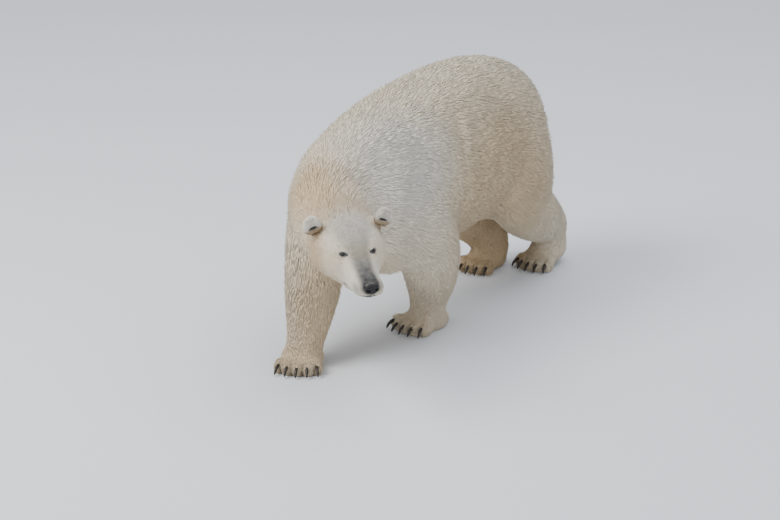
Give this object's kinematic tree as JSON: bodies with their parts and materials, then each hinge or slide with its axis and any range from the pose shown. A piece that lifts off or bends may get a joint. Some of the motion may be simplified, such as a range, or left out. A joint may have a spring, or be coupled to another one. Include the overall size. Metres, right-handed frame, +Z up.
{
  "type": "polar bear",
  "caption": "Life-size polar bear standing in mid-stride on all its paws, low head turned to its left, in a thick cream coat with dark nose, eyes and claws.",
  "frame": {"origin": "middle of the bounding box's base, on the floor under the trunk", "axes": "-Y is the way the bear walks, +X is its left side, +Z is up"},
  "size_m": [0.7976, 1.966, 0.9818],
  "materials": {
    "coat": "matte fur",
    "nose": "moist, finely pebbled",
    "eye": "wet gloss",
    "claw": "horn, satin"
  },
  "bodies": {
    "root": {"claw_front_left_1": "claw", "claw_front_left_2": "claw", "claw_front_left_3": "claw", "claw_front_left_4": "claw", "claw_front_left_5": "claw", "claw_front_right_1": "claw", "claw_front_right_2": "claw", "claw_front_right_3": "claw", "claw_front_right_4": "claw", "claw_front_right_5": "claw", "claw_hind_left_1": "claw", "claw_hind_left_2": "claw", "claw_hind_left_3": "claw", "claw_hind_left_4": "claw", "claw_hind_left_5": "claw", "claw_hind_right_1": "claw", "claw_hind_right_2": "claw", "claw_hind_right_3": "claw", "claw_hind_right_4": "claw", "claw_hind_right_5": "claw", "ear_left": "coat", "ear_right": "coat", "eye_left": "eye", "eye_right": "eye", "head": "coat", "leg_front_left": "coat", "leg_front_right": "coat", "leg_hind_left": "coat", "leg_hind_right": "coat", "neck": "coat", "nose": "nose", "paw_front_left": "coat", "paw_front_right": "coat", "paw_hind_left": "coat", "paw_hind_right": "coat", "tail": "coat", "trunk": "coat"}
  },
  "joints": []
}
